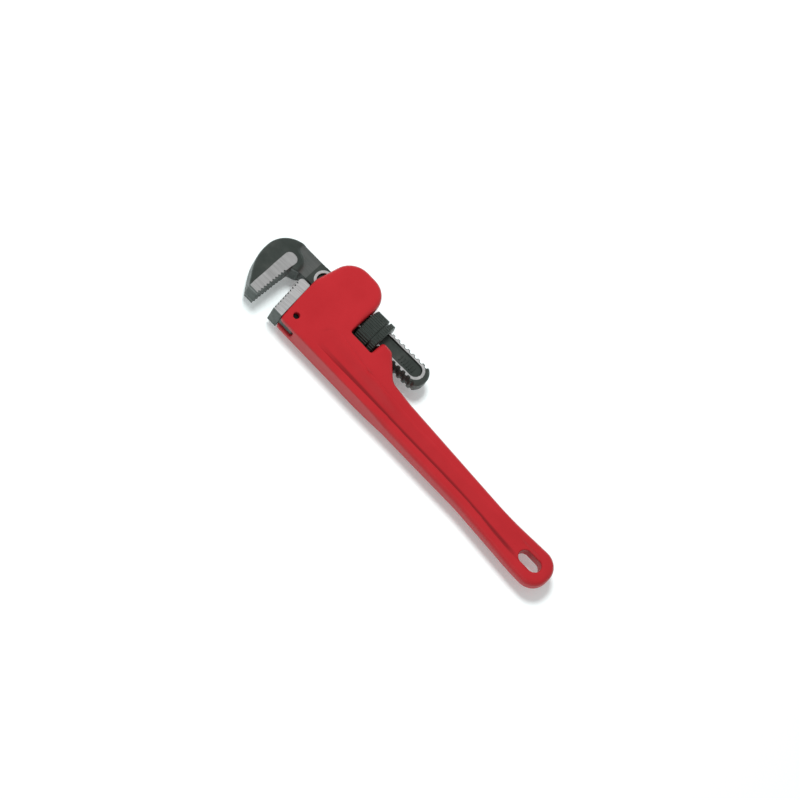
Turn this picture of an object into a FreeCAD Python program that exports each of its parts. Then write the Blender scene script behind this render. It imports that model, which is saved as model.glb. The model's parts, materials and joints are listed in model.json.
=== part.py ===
"""A straight pipe wrench of the 350 mm size, lying on its side.

Bench frame: X runs along the adjusting nut's axis towards the handle's end, +Y is the back of the
wrench, -Y the mouth of the jaws and Z the thickness. Every outline is drawn with the nut's centre
at (0, 0) and the wrench's mid-plane at Z = 0. The finished parts are then set down so that the
origin is the middle of the underside.
"""
import FreeCAD, Part
import math
import os

import Sketcher

# Driving dimensions, in millimetres and degrees: alias, value, meaning.
DIMENSIONS = [
    ("origin_x", 59.07, "nut centre to the middle of the wrench, along X"),
    ("origin_y", -13.92, "nut centre to the middle of the wrench, along Y"),
    ("rest_lean", 1.5, "lean of the hook jaw in the housing at rest"),
    ("head_thickness", 30.0, "housing, side to side"),
    ("beam_thickness", 16.4, "handle, side to side"),
    ("taper_start", 4.0, "X where the housing starts to thin"),
    ("taper_end", 58.0, "X where the handle's own thickness is reached"),
    ("taper_far", 240.0, "X beyond the handle's end"),
    ("end_thickness", 10.6, "what the handle's thickness tends to at that X"),
    ("slope_back_y", -4.0, "Y where the housing's sides start to fall to its front"),
    ("slope_front_y", -49.6, "Y where the sides reach the handle's own thickness"),
    ("slope_far_y", -70.0, "Y beyond the housing's front"),
    ("web_thickness", 8.6, "web of the handle"),
    ("ramp_start_x", -31.0, "X where the channel floor starts"),
    ("ramp_start_z", 8.6, "height of the channel floor at its start"),
    ("ramp_end_x", 60.0, "X where the channel floor reaches the web"),
    ("ramp_front_y", -43.5, "front side of the sloping channel floor"),
    ("ramp_width", 20.0, "width of the sloping channel floor"),
    ("fade_start_x", 138.0, "X where the channel floor starts to rise to the handle's end"),
    ("fade_end_x", 212.0, "X where that rise ends"),
    ("fade_end_z", 5.0, "height of the channel floor at that end"),
    ("fade_front_y", -47.6, "front side of the rising channel floor"),
    ("fade_width", 19.6, "width of the rising channel floor"),
    ("edge_round", 4.2, "rounding of the handle's long edges"),
    ("tunnel_width", 13.8, "space for the shank between the cheeks"),
    ("heel_slot_width", 7.4, "slot for the heel jaw's tail"),
    ("pin_x", -45.2, "heel jaw pin, X"),
    ("pin_y", -38.6, "heel jaw pin, Y"),
    ("pin_hole_radius", 2.45, "hole for the heel jaw pin"),
    ("pin_radius", 2.4, "heel jaw pin"),
    ("pin_length", 14.0, "heel jaw pin"),
    ("pin_end_round", 0.5, "ends of the heel jaw pin"),
    ("spring_x", -33.0, "coil spring, X"),
    ("spring_pocket_radius", 5.2, "pocket for the coil spring"),
    ("spring_pocket_floor", 22.0, "Y of the pocket's floor"),
    ("hang_x", 197.9, "hang hole's centre, X"),
    ("hang_y", -38.4, "hang hole's centre, Y"),
    ("hang_length", 19.6, "hang hole, end to end"),
    ("hang_width", 10.8, "hang hole, side to side"),
    ("hook_thickness", 19.0, "hook, side to side"),
    ("land_height", 0.5, "ground side of the teeth, proud of the hook"),
    ("neck_thickness", 12.2, "neck of the hook jaw"),
    ("shank_thickness", 12.8, "threaded shank across its flats"),
    ("thread_radius", 10.4, "outside of the shank's thread"),
    ("thread_root_radius", 9.15, "bottom of the shank's thread"),
    ("thread_pitch", 5.0, "thread, single start"),
    ("thread_root_gap", 2.3, "groove of the thread at its bottom"),
    ("thread_crest_gap", 3.2, "groove of the thread at its mouth"),
    ("thread_length", 76.0, "threaded part of the shank"),
    ("thread_start", -26.0, "X where the thread starts"),
    ("shank_start", -52.0, "X where the shank meets the neck"),
    ("shank_end", 52.0, "X of the shank's tip"),
    ("shank_clear_radius", 11.0, "mouth of the thread cut, outside the shank"),
    ("recess_x", -5.8, "recess in each side of the shank, centre X"),
    ("recess_length", 103.0, "recess, end to end"),
    ("recess_width", 11.0, "recess, side to side"),
    ("recess_depth", 2.5, "recess, into the shank's flat"),
    ("rim_x", -40.0, "rim around the recess's end on the neck, centre X"),
    ("rim_y", 0.0, "rim and recess, centre Y"),
    ("rim_length", 39.2, "rim, end to end"),
    ("rim_width", 15.6, "rim, side to side"),
    ("hook_round", 2.6, "rounding of the hook's edges"),
    ("tooth_depth", 1.5, "jaw teeth"),
    ("tooth_pitch", 2.9, "jaw teeth"),
    ("tooth_count", 10, "jaw teeth"),
    ("hook_tooth_lean", -3.35, "hook tooth line against the square across the shank"),
    ("hook_tooth_x", -77.0, "front end of the hook tooth line, X"),
    ("hook_tooth_y", -46.4, "front end of the hook tooth line, Y"),
    ("hook_tip_bevel", 3.0, "bevel on the hook's tip, along Y"),
    ("heel_thickness", 20.4, "heel jaw, side to side"),
    ("heel_tail_thickness", 7.0, "tail of the heel jaw"),
    ("heel_tooth_lean", 5.9, "heel tooth line against the square across the shank"),
    ("heel_tooth_x", -60.4, "front end of the heel tooth line, X"),
    ("heel_tooth_y", -47.6, "front end of the heel tooth line, Y"),
    ("nut_radius", 14.6, "adjusting nut"),
    ("nut_length", 17.8, "adjusting nut"),
    ("nut_bore_radius", 9.5, "inside of the nut's thread"),
    ("nut_thread_radius", 10.75, "bottom of the nut's thread"),
    ("nut_root_gap", 2.7, "groove of the nut's thread at its bottom"),
    ("nut_crest_gap", 3.6, "groove of the nut's thread at its mouth"),
    ("nut_groove_x", 3.4, "groove round the nut, X"),
    ("nut_groove_width", 1.6, "groove round the nut"),
    ("nut_groove_depth", 1.3, "groove round the nut"),
    ("nut_chamfer", 1.0, "edges of the nut"),
    ("leaf_width", 9.0, "flat spring"),
    ("leaf_gauge", 0.8, "thickness of the flat spring"),
    ("leaf_y", 10.6, "Y of the flat spring's face on the shank"),
    ("leaf_front_x", -46.0, "flat spring, end at the jaws"),
    ("leaf_rear_x", -16.0, "flat spring, end at the nut"),
    ("leaf_bend", 4.0, "length of the turned-up ends"),
    ("leaf_lift", 0.5, "height of the turned-up ends"),
    ("coil_radius", 3.7, "coil spring, axis to the middle of the wire"),
    ("coil_wire_radius", 0.6, "coil spring wire"),
    ("coil_length", 10.0, "coil spring between its ends' wire centres"),
    ("coil_pitch", 1.9, "coil spring"),
    ("coil_y", 11.25, "Y of the coil spring's first turn"),
    ("rivet_radius", 1.5, "spring rivet"),
    ("rivet_head_radius", 2.1, "spring rivet's head"),
    ("rivet_head_height", 1.0, "spring rivet's head"),
]

# Outlines as corners: name, x, y, radius of the rounded corner (0 is sharp).
CASTING = [
    ("head_front", -51.8, -48.3, 3.0),
    ("head_top", -55.6, -8.5, 8.0),
    ("hump_jaw_side", -48.5, 25.4, 18.0),
    ("hump_nut_side", -10.2, 25.4, 16.5),
    ("window_top", -10.2, -17.6, 1.5),
    ("window_low", 10.8, -17.6, 1.5),
    ("arm_tip", 10.8, -4.2, 2.5),
    ("arm_back", 20.3, -4.2, 4.0),
    ("arm_root", 37.0, -19.6, 10.0),
    ("back_waist", 166.0, -25.1, 300.0),
    ("end_back", 216.8, -22.0, 14.0),
    ("end_front", 216.8, -53.4, 13.5),
    ("front_flare", 192.0, -53.1, 80.0),
    ("front_waist", 134.0, -49.0, 200.0),
    ("front_root", 60.0, -48.6, 300.0),
]
CHANNEL = [
    ("channel_front_top", -29.5, -42.6, 5.0),
    ("channel_back_top", -19.0, -23.6, 6.0),
    ("channel_back_root", 20.0, -29.0, 12.0),
    ("channel_back_end", 207.0, -31.0, 6.8),
    ("channel_front_end", 207.0, -46.0, 6.8),
    ("channel_front_waist", 130.0, -41.4, 200.0),
]
TUNNEL = [
    ("tunnel_front_top", -62.0, -13.2, 0.0),
    ("tunnel_back_top", -62.0, 16.1, 0.0),
    ("tunnel_back_low", -9.0, 12.8, 0.0),
    ("tunnel_front_low", -9.0, -11.4, 0.0),
]
ARM_SLOT = [
    ("slot_floor_top", 9.0, -11.7, 0.0),
    ("slot_floor_low", 60.0, -14.6, 0.0),
    ("slot_back_low", 60.0, 2.0, 0.0),
    ("slot_back_top", 9.0, 2.0, 0.0),
]
HEEL_SLOT = [
    ("heel_slot_front", -62.0, -54.0, 0.0),
    ("heel_slot_low", -38.0, -54.0, 0.0),
    ("heel_slot_back", -38.0, -24.0, 3.0),
    ("heel_slot_top", -62.0, -21.5, 0.0),
]
HOOK = [
    ("tip_inner", -77.0, -46.4, 0.0),
    ("tip_bevel", -85.6, -46.4, 0.0),
    ("tip_outer", -87.8, -43.4, 0.0),
    ("hook_side", -99.0, -25.3, 40.0),
    ("hook_crown", -99.0, 9.0, 21.0),
    ("hook_step_back", -66.5, 9.0, 9.0),
    ("hook_step_throat", -66.5, -9.8, 3.0),
    ("throat_inner", -75.2, -13.0, 0.0),
]
NECK = [
    ("neck_front", -49.0, -9.4, 0.0),
    ("throat", -74.8, -9.4, 8.0),
    ("neck_tooth", -76.5, -38.0, 0.0),
    ("neck_inside", -88.0, -38.0, 0.0),
    ("neck_crown", -88.0, 9.0, 10.0),
    ("neck_back", -49.0, 9.0, 0.0),
]
LAND = [
    ("land_tip_inner", -77.0, -46.4, 0.0),
    ("land_tip_outer", -85.3, -46.4, 0.0),
    ("land_end_outer", -84.6, -3.4, 4.4),
    ("land_end_inner", -74.4, -4.2, 4.4),
]
HEEL_HEAD = [
    ("heel_front_top", -60.4, -47.6, 0.0),
    ("heel_front_low", -52.1, -47.6, 0.0),
    ("heel_rear_low", -55.2, -14.4, 1.0),
    ("heel_rear_top", -63.8, -14.4, 3.0),
]
HEEL_TAIL = [
    ("tail_front_top", -54.0, -46.6, 0.0),
    ("tail_front_low", -38.4, -46.6, 2.5),
    ("tail_rear_low", -38.4, -24.6, 3.0),
    ("tail_rear_top", -54.0, -23.2, 0.0),
]
SHANK_TIP = [
    ("tip_cut_out_low", 36.0, -14.0, 0.0),
    ("tip_cut_far_low", 58.0, -14.0, 0.0),
    ("tip_cut_far_top", 58.0, 14.0, 0.0),
    ("tip_cut_out_top", 36.0, 14.0, 0.0),
    ("tip_cut_in_top", 36.0, 10.6, 0.0),
    ("tip_top", 52.0, 10.6, 9.6),
    ("tip_low", 52.0, -10.6, 9.6),
    ("tip_cut_in_low", 36.0, -10.6, 0.0),
]
OUTLINES = [CASTING, CHANNEL, TUNNEL, ARM_SLOT, HEEL_SLOT, HOOK, NECK, LAND, HEEL_HEAD, HEEL_TAIL,
            SHANK_TIP]

SIZE = {alias: value for alias, value, meaning in DIMENSIONS}

SHORTEST_EDGE = 0.5
WINDOW_REACH_X = (-11.0, 20.3)
WINDOW_REACH_Y = -23.0
TOOTH_LINE_X = (-77.5, -74.5)
TOOTH_LINE_Y = -20.0
doc = FreeCAD.newDocument("pipe_wrench")


def fill_sheet():
    """Write every driving dimension and outline corner into the sheet."""
    sheet = doc.addObject("Spreadsheet::Sheet", "Dims")
    rows = list(DIMENSIONS)
    for outline in OUTLINES:
        for corner, x, y, radius in outline:
            rows.append((corner + "_x", x, "outline corner"))
            rows.append((corner + "_y", y, "outline corner"))
            if radius:
                rows.append((corner + "_r", radius, "rounding of that corner"))
    for line, (alias, value, meaning) in enumerate(rows, start=1):
        sheet.set(f"A{line}", meaning)
        sheet.set(f"B{line}", str(value))
        sheet.setAlias(f"B{line}", alias)
    doc.recompute()


def new_body(label):
    body = doc.addObject("PartDesign::Body", label)
    body.Label = label
    return body


def origin_feature(body, role):
    return [feature for feature in body.Origin.OriginFeatures if feature.Role == role][0]


def new_sketch(body, name, plane="XY_Plane"):
    sketch = body.newObject("Sketcher::SketchObject", name)
    sketch.AttachmentSupport = (origin_feature(body, plane), [""])
    sketch.MapMode = "FlatFace"
    return sketch


def fix_point(sketch, geometry, end, x, y):
    """Hold a point at (x, y); each is an alias, an expression or a plain number."""
    for kind, place in (("DistanceX", x), ("DistanceY", y)):
        value = place if isinstance(place, (int, float)) else place[1]
        index = sketch.addConstraint(Sketcher.Constraint(kind, -1, 1, geometry, end, value))
        if not isinstance(place, (int, float)):
            sketch.setExpression(f"Constraints[{index}]", place[0])


def add_polygon(sketch, corners):
    """Closed outline through corners, each an (x, y) pair as fix_point takes them."""
    first = sketch.GeometryCount
    values = [[p if isinstance(p, (int, float)) else p[1] for p in corner] for corner in corners]
    points = [FreeCAD.Vector(x, y, 0) for x, y in values]
    count = len(points)
    for i in range(count):
        sketch.addGeometry(Part.LineSegment(points[i], points[(i + 1) % count]), False)
    for i in range(count):
        here = first + i
        after = first + (i + 1) % count
        sketch.addConstraint(Sketcher.Constraint("Coincident", here, 2, after, 1))
    for i, (x, y) in enumerate(corners):
        fix_point(sketch, first + i, 1, x, y)


def cell(alias):
    """A sheet cell as fix_point takes it: the expression and its present value."""
    return (f"Dims.{alias}", SIZE[alias])


def scaled(alias, factor):
    return (f"Dims.{alias} * {factor}", SIZE[alias] * factor)


def trim_lengths(outline):
    """How far each rounded corner's arc reaches along its two sides."""
    count = len(outline)
    points = [FreeCAD.Vector(x, y, 0) for _, x, y, _ in outline]
    trims = []
    for i, (_, _, _, radius) in enumerate(outline):
        before = points[i] - points[i - 1]
        after = points[(i + 1) % count] - points[i]
        trims.append(radius * math.tan(before.getAngle(after) / 2))
    return points, trims


def corner_arc(start, corner, end, radius):
    """Arc tangent to both sides of a corner, and whether it turns left."""
    before = (corner - start).normalize()
    after = (end - corner).normalize()
    left = before.cross(after).z > 0
    side = FreeCAD.Vector(-before.y, before.x, 0) * (radius if left else -radius)
    centre = start + side
    ends = (start, end) if left else (end, start)
    angles = [math.atan2(p.y - centre.y, p.x - centre.x) for p in ends]
    circle = Part.Circle(centre, FreeCAD.Vector(0, 0, 1), radius)
    return Part.ArcOfCircle(circle, angles[0], angles[1]), left


def outline_sketch(body, name, outline):
    """Sketch of an outline given by its corners, each rounded by its own radius."""
    sketch = new_sketch(body, name)
    count = len(outline)
    points, trims = trim_lengths(outline)
    along = [(points[(i + 1) % count] - points[i]).normalize() for i in range(count)]
    starts = [points[i] + along[i] * trims[i] for i in range(count)]
    ends = [points[(i + 1) % count] - along[i] * trims[(i + 1) % count] for i in range(count)]
    for start, end in zip(starts, ends):
        sketch.addGeometry(Part.LineSegment(start, end), False)
    for i, (corner, x, y, radius) in enumerate(outline):
        before = (i - 1) % count
        place = (f"Dims.{corner}_x", x), (f"Dims.{corner}_y", y)
        if not radius:
            sketch.addConstraint(Sketcher.Constraint("Coincident", before, 2, i, 1))
            fix_point(sketch, i, 1, *place)
            continue
        shape, left = corner_arc(ends[before], points[i], starts[i], radius)
        arc = sketch.addGeometry(shape, False)
        point = sketch.addGeometry(Part.Point(points[i]), True)
        sketch.addConstraint(Sketcher.Constraint("Tangent", before, 2, arc, 1 if left else 2))
        sketch.addConstraint(Sketcher.Constraint("Tangent", arc, 2 if left else 1, i, 1))
        sketch.addConstraint(Sketcher.Constraint("PointOnObject", point, 1, before))
        sketch.addConstraint(Sketcher.Constraint("PointOnObject", point, 1, i))
        fix_point(sketch, point, 1, *place)
        number = sketch.addConstraint(Sketcher.Constraint("Radius", arc, radius))
        sketch.setExpression(f"Constraints[{number}]", f"Dims.{corner}_r")
    return sketch


def bind(feature, **expressions):
    for name, expression in expressions.items():
        feature.setExpression(name, expression)


def pad(body, sketch, length, symmetric=True):
    feature = body.newObject("PartDesign::Pad", sketch.Name + "_pad")
    feature.Profile = sketch
    feature.SideType = "Symmetric" if symmetric else "One side"
    bind(feature, Length=length)
    doc.recompute()
    return feature


def pocket(body, sketch, length=None, symmetric=True, reverse=False):
    """Cut the sketch out of the body; with no length it goes through everything."""
    before = body.Shape.Volume
    feature = body.newObject("PartDesign::Pocket", sketch.Name + "_cut")
    feature.Profile = sketch
    feature.SideType = "Symmetric" if symmetric else "One side"
    feature.Reversed = reverse
    if length is None:
        feature.Type = "ThroughAll"
    else:
        bind(feature, Length=length)
    doc.recompute()
    if feature.Shape.Volume > before - 0.01:
        raise RuntimeError(sketch.Name + " cuts nothing")
    return feature


def round_edges(body, radius, wanted, name):
    """Fillet the edges of the body's tip for which wanted(edge) is true."""
    base = body.Tip
    edges = [f"Edge{i}" for i, edge in enumerate(base.Shape.Edges, start=1) if wanted(edge)]
    if not edges:
        raise RuntimeError(name + " finds no edge")
    feature = body.newObject("PartDesign::Fillet", name)
    feature.Base = (base, edges)
    bind(feature, Radius=radius)
    doc.recompute()
    if "Invalid" in feature.State or feature.Shape.isNull() or not feature.Shape.isValid():
        raise RuntimeError(name + " failed")
    return feature


def mirrored(body, original):
    """Repeat a cut on the other side of the mid-plane."""
    feature = body.newObject("PartDesign::Mirrored", original.Name + "_mirror")
    feature.Originals = [original]
    feature.MirrorPlane = (origin_feature(body, "XY_Plane"), [""])
    body.Tip = feature
    doc.recompute()
    return feature


def add_circle(sketch, x, y, radius):
    """Circle at (x, y), each as fix_point takes it, with its radius from a sheet alias."""
    place = [p if isinstance(p, (int, float)) else p[1] for p in (x, y)]
    centre = FreeCAD.Vector(place[0], place[1], 0)
    value = SIZE[radius]
    index = sketch.addGeometry(Part.Circle(centre, FreeCAD.Vector(0, 0, 1), value), False)
    fix_point(sketch, index, 3, x, y)
    number = sketch.addConstraint(Sketcher.Constraint("Radius", index, value))
    sketch.setExpression(f"Constraints[{number}]", f"Dims.{radius}")


def add_slot(sketch, x, y, length, width):
    """Straight slot along X with round ends; length and width are (expression, value) pairs."""
    half_gap = (length[1] - width[1]) / 2
    radius = width[1] / 2
    up = FreeCAD.Vector(0, 0, 1)
    left = FreeCAD.Vector(x[1] - half_gap, y[1], 0)
    right = FreeCAD.Vector(x[1] + half_gap, y[1], 0)
    rise = FreeCAD.Vector(0, radius, 0)
    quarter = math.pi / 2
    right_arc = sketch.addGeometry(Part.ArcOfCircle(Part.Circle(right, up, radius), -quarter, quarter))
    top = sketch.addGeometry(Part.LineSegment(right + rise, left + rise))
    left_arc = sketch.addGeometry(Part.ArcOfCircle(Part.Circle(left, up, radius), quarter, 3 * quarter))
    low = sketch.addGeometry(Part.LineSegment(left - rise, right - rise))
    for one, end, other, start in ((right_arc, 2, top, 1), (top, 2, left_arc, 1),
                                   (left_arc, 2, low, 1), (low, 2, right_arc, 1)):
        sketch.addConstraint(Sketcher.Constraint("Tangent", one, end, other, start))
    number = sketch.addConstraint(Sketcher.Constraint("Radius", right_arc, radius))
    sketch.setExpression(f"Constraints[{number}]", f"({width[0]}) / 2")
    fix_point(sketch, right_arc, 3, (f"{x[0]} + ({length[0]} - {width[0]}) / 2", right.x), y)
    fix_point(sketch, left_arc, 3, (f"{x[0]} - ({length[0]} - {width[0]}) / 2", left.x), y)


def tooth_sketch(body, name, jaw):
    """One V between two teeth, drawn on a plane turned so that its Y runs along the tooth line."""
    sketch = new_sketch(body, name)
    sketch.AttachmentOffset = FreeCAD.Placement(
        FreeCAD.Vector(SIZE[jaw + "_tooth_x"], SIZE[jaw + "_tooth_y"], 0),
        FreeCAD.Rotation(FreeCAD.Vector(0, 0, 1), SIZE[jaw + "_tooth_lean"]))
    bind(sketch, **{".AttachmentOffset.Base.x": f"Dims.{jaw}_tooth_x",
                    ".AttachmentOffset.Base.y": f"Dims.{jaw}_tooth_y",
                    ".AttachmentOffset.Rotation.Angle": f"Dims.{jaw}_tooth_lean"})
    return sketch


def cut_teeth(body, jaw, into):
    """V grooves along a jaw's tooth line; into is +1 or -1, the side of the metal along X."""
    sketch = tooth_sketch(body, jaw + "_tooth_gap", jaw)
    clear = -into * 1.0
    first = scaled("tooth_pitch", 0.1)
    middle = scaled("tooth_pitch", 0.5)
    last = scaled("tooth_pitch", 0.9)
    depth = scaled("tooth_depth", into)
    add_polygon(sketch, [(0.0, first), (depth, middle), (0.0, last), (clear, last), (clear, first)])
    cut = pocket(body, sketch)
    pattern = body.newObject("PartDesign::LinearPattern", jaw + "_teeth")
    pattern.Originals = [cut]
    pattern.Direction = (sketch, ["V_Axis"])
    pattern.Mode = "Spacing"
    bind(pattern, Offset="Dims.tooth_pitch", Occurrences="Dims.tooth_count")
    body.Tip = pattern
    doc.recompute()


def is_handle_edge(edge):
    """A long outer edge of the casting's front, hump or handle, not one of the nut window."""
    middle = edge.CenterOfMass
    if edge.BoundBox.ZLength > SIZE["beam_thickness"] or edge.Length < SHORTEST_EDGE:
        return False
    first, last = WINDOW_REACH_X
    on_window = first < middle.x < last and middle.y > WINDOW_REACH_Y
    return not on_window and abs(middle.z) > SIZE["web_thickness"] / 2


def make_handle():
    """The casting: housing, nut window, lower arm, I-beam handle and hang hole."""
    body = new_body("handle")
    pad(body, outline_sketch(body, "casting", CASTING), "Dims.head_thickness")
    taper = new_sketch(body, "taper", "XZ_Plane")
    for side in (1, -1):
        head = scaled("head_thickness", 0.5 * side)
        beam = scaled("beam_thickness", 0.5 * side)
        end = scaled("end_thickness", 0.5 * side)
        outside = scaled("head_thickness", 0.8 * side)
        add_polygon(taper, [(cell("taper_start"), head), (cell("taper_end"), beam),
                            (cell("taper_far"), end), (cell("taper_far"), outside),
                            (cell("taper_start"), outside)])
    pocket(body, taper)
    round_edges(body, "Dims.edge_round", is_handle_edge, "handle_edges")
    slope = new_sketch(body, "front_slope", "YZ_Plane")
    for side in (1, -1):
        head = scaled("head_thickness", 0.5 * side)
        beam = scaled("beam_thickness", 0.5 * side)
        outside = scaled("head_thickness", 0.8 * side)
        add_polygon(slope, [(cell("slope_back_y"), head), (cell("slope_front_y"), beam),
                            (cell("slope_far_y"), beam), (cell("slope_far_y"), outside),
                            (cell("slope_back_y"), outside)])
    pocket(body, slope)

    channel = outline_sketch(body, "channel", CHANNEL)
    bind(channel, **{".AttachmentOffset.Base.z": "Dims.web_thickness / 2"})
    upper = pocket(body, channel, "Dims.head_thickness", symmetric=False, reverse=True)
    mirrored(body, upper)
    ramp = new_sketch(body, "channel_floor", "XZ_Plane")
    bind(ramp, **{".AttachmentOffset.Base.z": "-Dims.ramp_front_y"})
    for side in (1, -1):
        add_polygon(ramp, [(cell("ramp_start_x"), 0.0),
                           (cell("ramp_start_x"), scaled("ramp_start_z", side)),
                           (cell("ramp_end_x"), scaled("web_thickness", 0.49 * side)),
                           (cell("ramp_end_x"), 0.0)])
    pad(body, ramp, "Dims.ramp_width", symmetric=False).Reversed = True
    fade = new_sketch(body, "channel_fade", "XZ_Plane")
    bind(fade, **{".AttachmentOffset.Base.z": "-Dims.fade_front_y"})
    for side in (1, -1):
        add_polygon(fade, [(cell("fade_start_x"), 0.0),
                           (cell("fade_start_x"), scaled("web_thickness", 0.49 * side)),
                           (cell("fade_end_x"), scaled("fade_end_z", side)),
                           (cell("fade_end_x"), 0.0)])
    pad(body, fade, "Dims.fade_width", symmetric=False).Reversed = True
    doc.recompute()

    pocket(body, outline_sketch(body, "tunnel", TUNNEL), "Dims.tunnel_width")
    pocket(body, outline_sketch(body, "arm_slot", ARM_SLOT), "Dims.tunnel_width")
    pocket(body, outline_sketch(body, "heel_slot", HEEL_SLOT), "Dims.heel_slot_width")

    pin_hole = new_sketch(body, "pin_hole")
    add_circle(pin_hole, cell("pin_x"), cell("pin_y"), "pin_hole_radius")
    pocket(body, pin_hole)
    spring_pocket = new_sketch(body, "spring_pocket", "XZ_Plane")
    add_circle(spring_pocket, cell("spring_x"), 0.0, "spring_pocket_radius")
    pocket(body, spring_pocket, "Dims.spring_pocket_floor", symmetric=False)

    hang_hole = new_sketch(body, "hang_hole")
    add_slot(hang_hole, cell("hang_x"), cell("hang_y"), cell("hang_length"), cell("hang_width"))
    pocket(body, hang_hole)
    return body


def make_heel_jaw():
    """Toothed block on top of the housing, held by a pin through its tail."""
    body = new_body("heel_jaw")
    pad(body, outline_sketch(body, "heel_head", HEEL_HEAD), "Dims.heel_thickness")
    pad(body, outline_sketch(body, "heel_tail", HEEL_TAIL), "Dims.heel_tail_thickness")
    pin_hole = new_sketch(body, "tail_hole")
    add_circle(pin_hole, cell("pin_x"), cell("pin_y"), "pin_hole_radius")
    pocket(body, pin_hole)
    cut_teeth(body, "heel", 1)
    return body


def make_heel_jaw_pin():
    body = new_body("heel_jaw_pin")
    sketch = new_sketch(body, "pin_section")
    add_circle(sketch, cell("pin_x"), cell("pin_y"), "pin_radius")
    pad(body, sketch, "Dims.pin_length")
    round_edges(body, "Dims.pin_end_round", lambda edge: edge.isClosed(), "pin_ends")
    return body


def thread_cut(body, name, root, crest, root_gap, crest_gap, start, length):
    """Helical groove about X; root and crest are the groove's bottom and mouth radii."""
    sketch = new_sketch(body, name)
    half_root = SIZE[root_gap] / 2
    half_crest = SIZE[crest_gap] / 2
    add_polygon(sketch, [
        ((f"{start[0]} - Dims.{root_gap} / 2", start[1] - half_root), root),
        ((f"{start[0]} + Dims.{root_gap} / 2", start[1] + half_root), root),
        ((f"{start[0]} + Dims.{crest_gap} / 2", start[1] + half_crest), crest),
        ((f"{start[0]} - Dims.{crest_gap} / 2", start[1] - half_crest), crest)])
    before = body.Shape.Volume
    helix = body.newObject("PartDesign::SubtractiveHelix", name + "_cut")
    helix.Profile = sketch
    helix.ReferenceAxis = (origin_feature(body, "X_Axis"), [""])
    helix.Mode = "pitch-height-angle"
    bind(helix, Pitch="Dims.thread_pitch", Height=length)
    doc.recompute()
    if helix.Shape.Volume > before - 1.0:
        raise RuntimeError(name + " cuts nothing")


def make_shank(body):
    """Round bar with two flats along X, its tip rounded, threaded on its two narrow sides."""
    section = new_sketch(body, "shank_section", "YZ_Plane")
    bind(section, **{".AttachmentOffset.Base.z": "Dims.shank_start"})
    add_circle(section, 0.0, 0.0, "thread_radius")
    pad(body, section, "Dims.shank_end - Dims.shank_start", symmetric=False)
    pocket(body, outline_sketch(body, "shank_tip", SHANK_TIP))
    thread_cut(body, "shank_thread", cell("thread_root_radius"), cell("shank_clear_radius"),
               "thread_root_gap", "thread_crest_gap", cell("thread_start"), "Dims.thread_length")
    flats = new_sketch(body, "shank_flats", "XZ_Plane")
    for side in (1, -1):
        flat = scaled("shank_thickness", 0.5 * side)
        outside = scaled("shank_thickness", side)
        add_polygon(flats, [(scaled("shank_start", 1.1), flat), (scaled("shank_end", 1.1), flat),
                            (scaled("shank_end", 1.1), outside),
                            (scaled("shank_start", 1.1), outside)])
    pocket(body, flats)


def is_hook_edge(edge):
    """An outer edge of the hook's sides, away from the tooth line and the tip."""
    middle = edge.CenterOfMass
    off_side = abs(abs(middle.z) - SIZE["hook_thickness"] / 2)
    on_side = max(off_side, edge.BoundBox.ZLength) < 0.01
    first, last = TOOTH_LINE_X
    on_tooth_line = first < middle.x < last and middle.y < TOOTH_LINE_Y
    on_tip = middle.y < SIZE["hook_tooth_y"] + SIZE["hook_tip_bevel"]
    return on_side and not on_tooth_line and not on_tip


def make_hook_jaw():
    """Hook, neck and threaded shank, forged in one piece."""
    body = new_body("hook_jaw")
    make_shank(body)
    pad(body, outline_sketch(body, "neck", NECK), "Dims.neck_thickness")
    pad(body, outline_sketch(body, "hook", HOOK), "Dims.hook_thickness")
    round_edges(body, "Dims.hook_round", is_hook_edge, "hook_edges")
    land_thickness = "Dims.hook_thickness + 2 * Dims.land_height"
    pad(body, outline_sketch(body, "land", LAND), land_thickness)
    rim = new_sketch(body, "rim")
    add_slot(rim, cell("rim_x"), cell("rim_y"), cell("rim_length"), cell("rim_width"))
    pad(body, rim, "Dims.shank_thickness")
    recess = new_sketch(body, "recess")
    add_slot(recess, cell("recess_x"), cell("rim_y"), cell("recess_length"), cell("recess_width"))
    bind(recess, **{".AttachmentOffset.Base.z": "Dims.shank_thickness / 2 - Dims.recess_depth"})
    upper = pocket(body, recess, "Dims.hook_thickness", symmetric=False, reverse=True)
    mirrored(body, upper)
    cut_teeth(body, "hook", -1)
    return body


def nut_profile():
    """Half section of the nut, as corners for add_polygon."""
    end = scaled("nut_length", 0.5)
    radius = cell("nut_radius")
    bore = cell("nut_bore_radius")
    worn = ("Dims.nut_radius - Dims.nut_chamfer", SIZE["nut_radius"] - SIZE["nut_chamfer"])
    floor = ("Dims.nut_radius - Dims.nut_groove_depth", SIZE["nut_radius"] - SIZE["nut_groove_depth"])
    corners = []
    for side in (-1, 1):
        face = (f"{side} * {end[0]}", side * end[1])
        rim = (f"{side} * ({end[0]} - Dims.nut_chamfer)", side * (end[1] - SIZE["nut_chamfer"]))
        wall = (f"Dims.nut_groove_x + {side} * Dims.nut_groove_width / 2",
                SIZE["nut_groove_x"] + side * SIZE["nut_groove_width"] / 2)
        half = [(face, bore), (face, worn), (rim, radius), (wall, radius), (wall, floor)]
        corners += half if side < 0 else half[::-1]
    return corners


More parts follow.
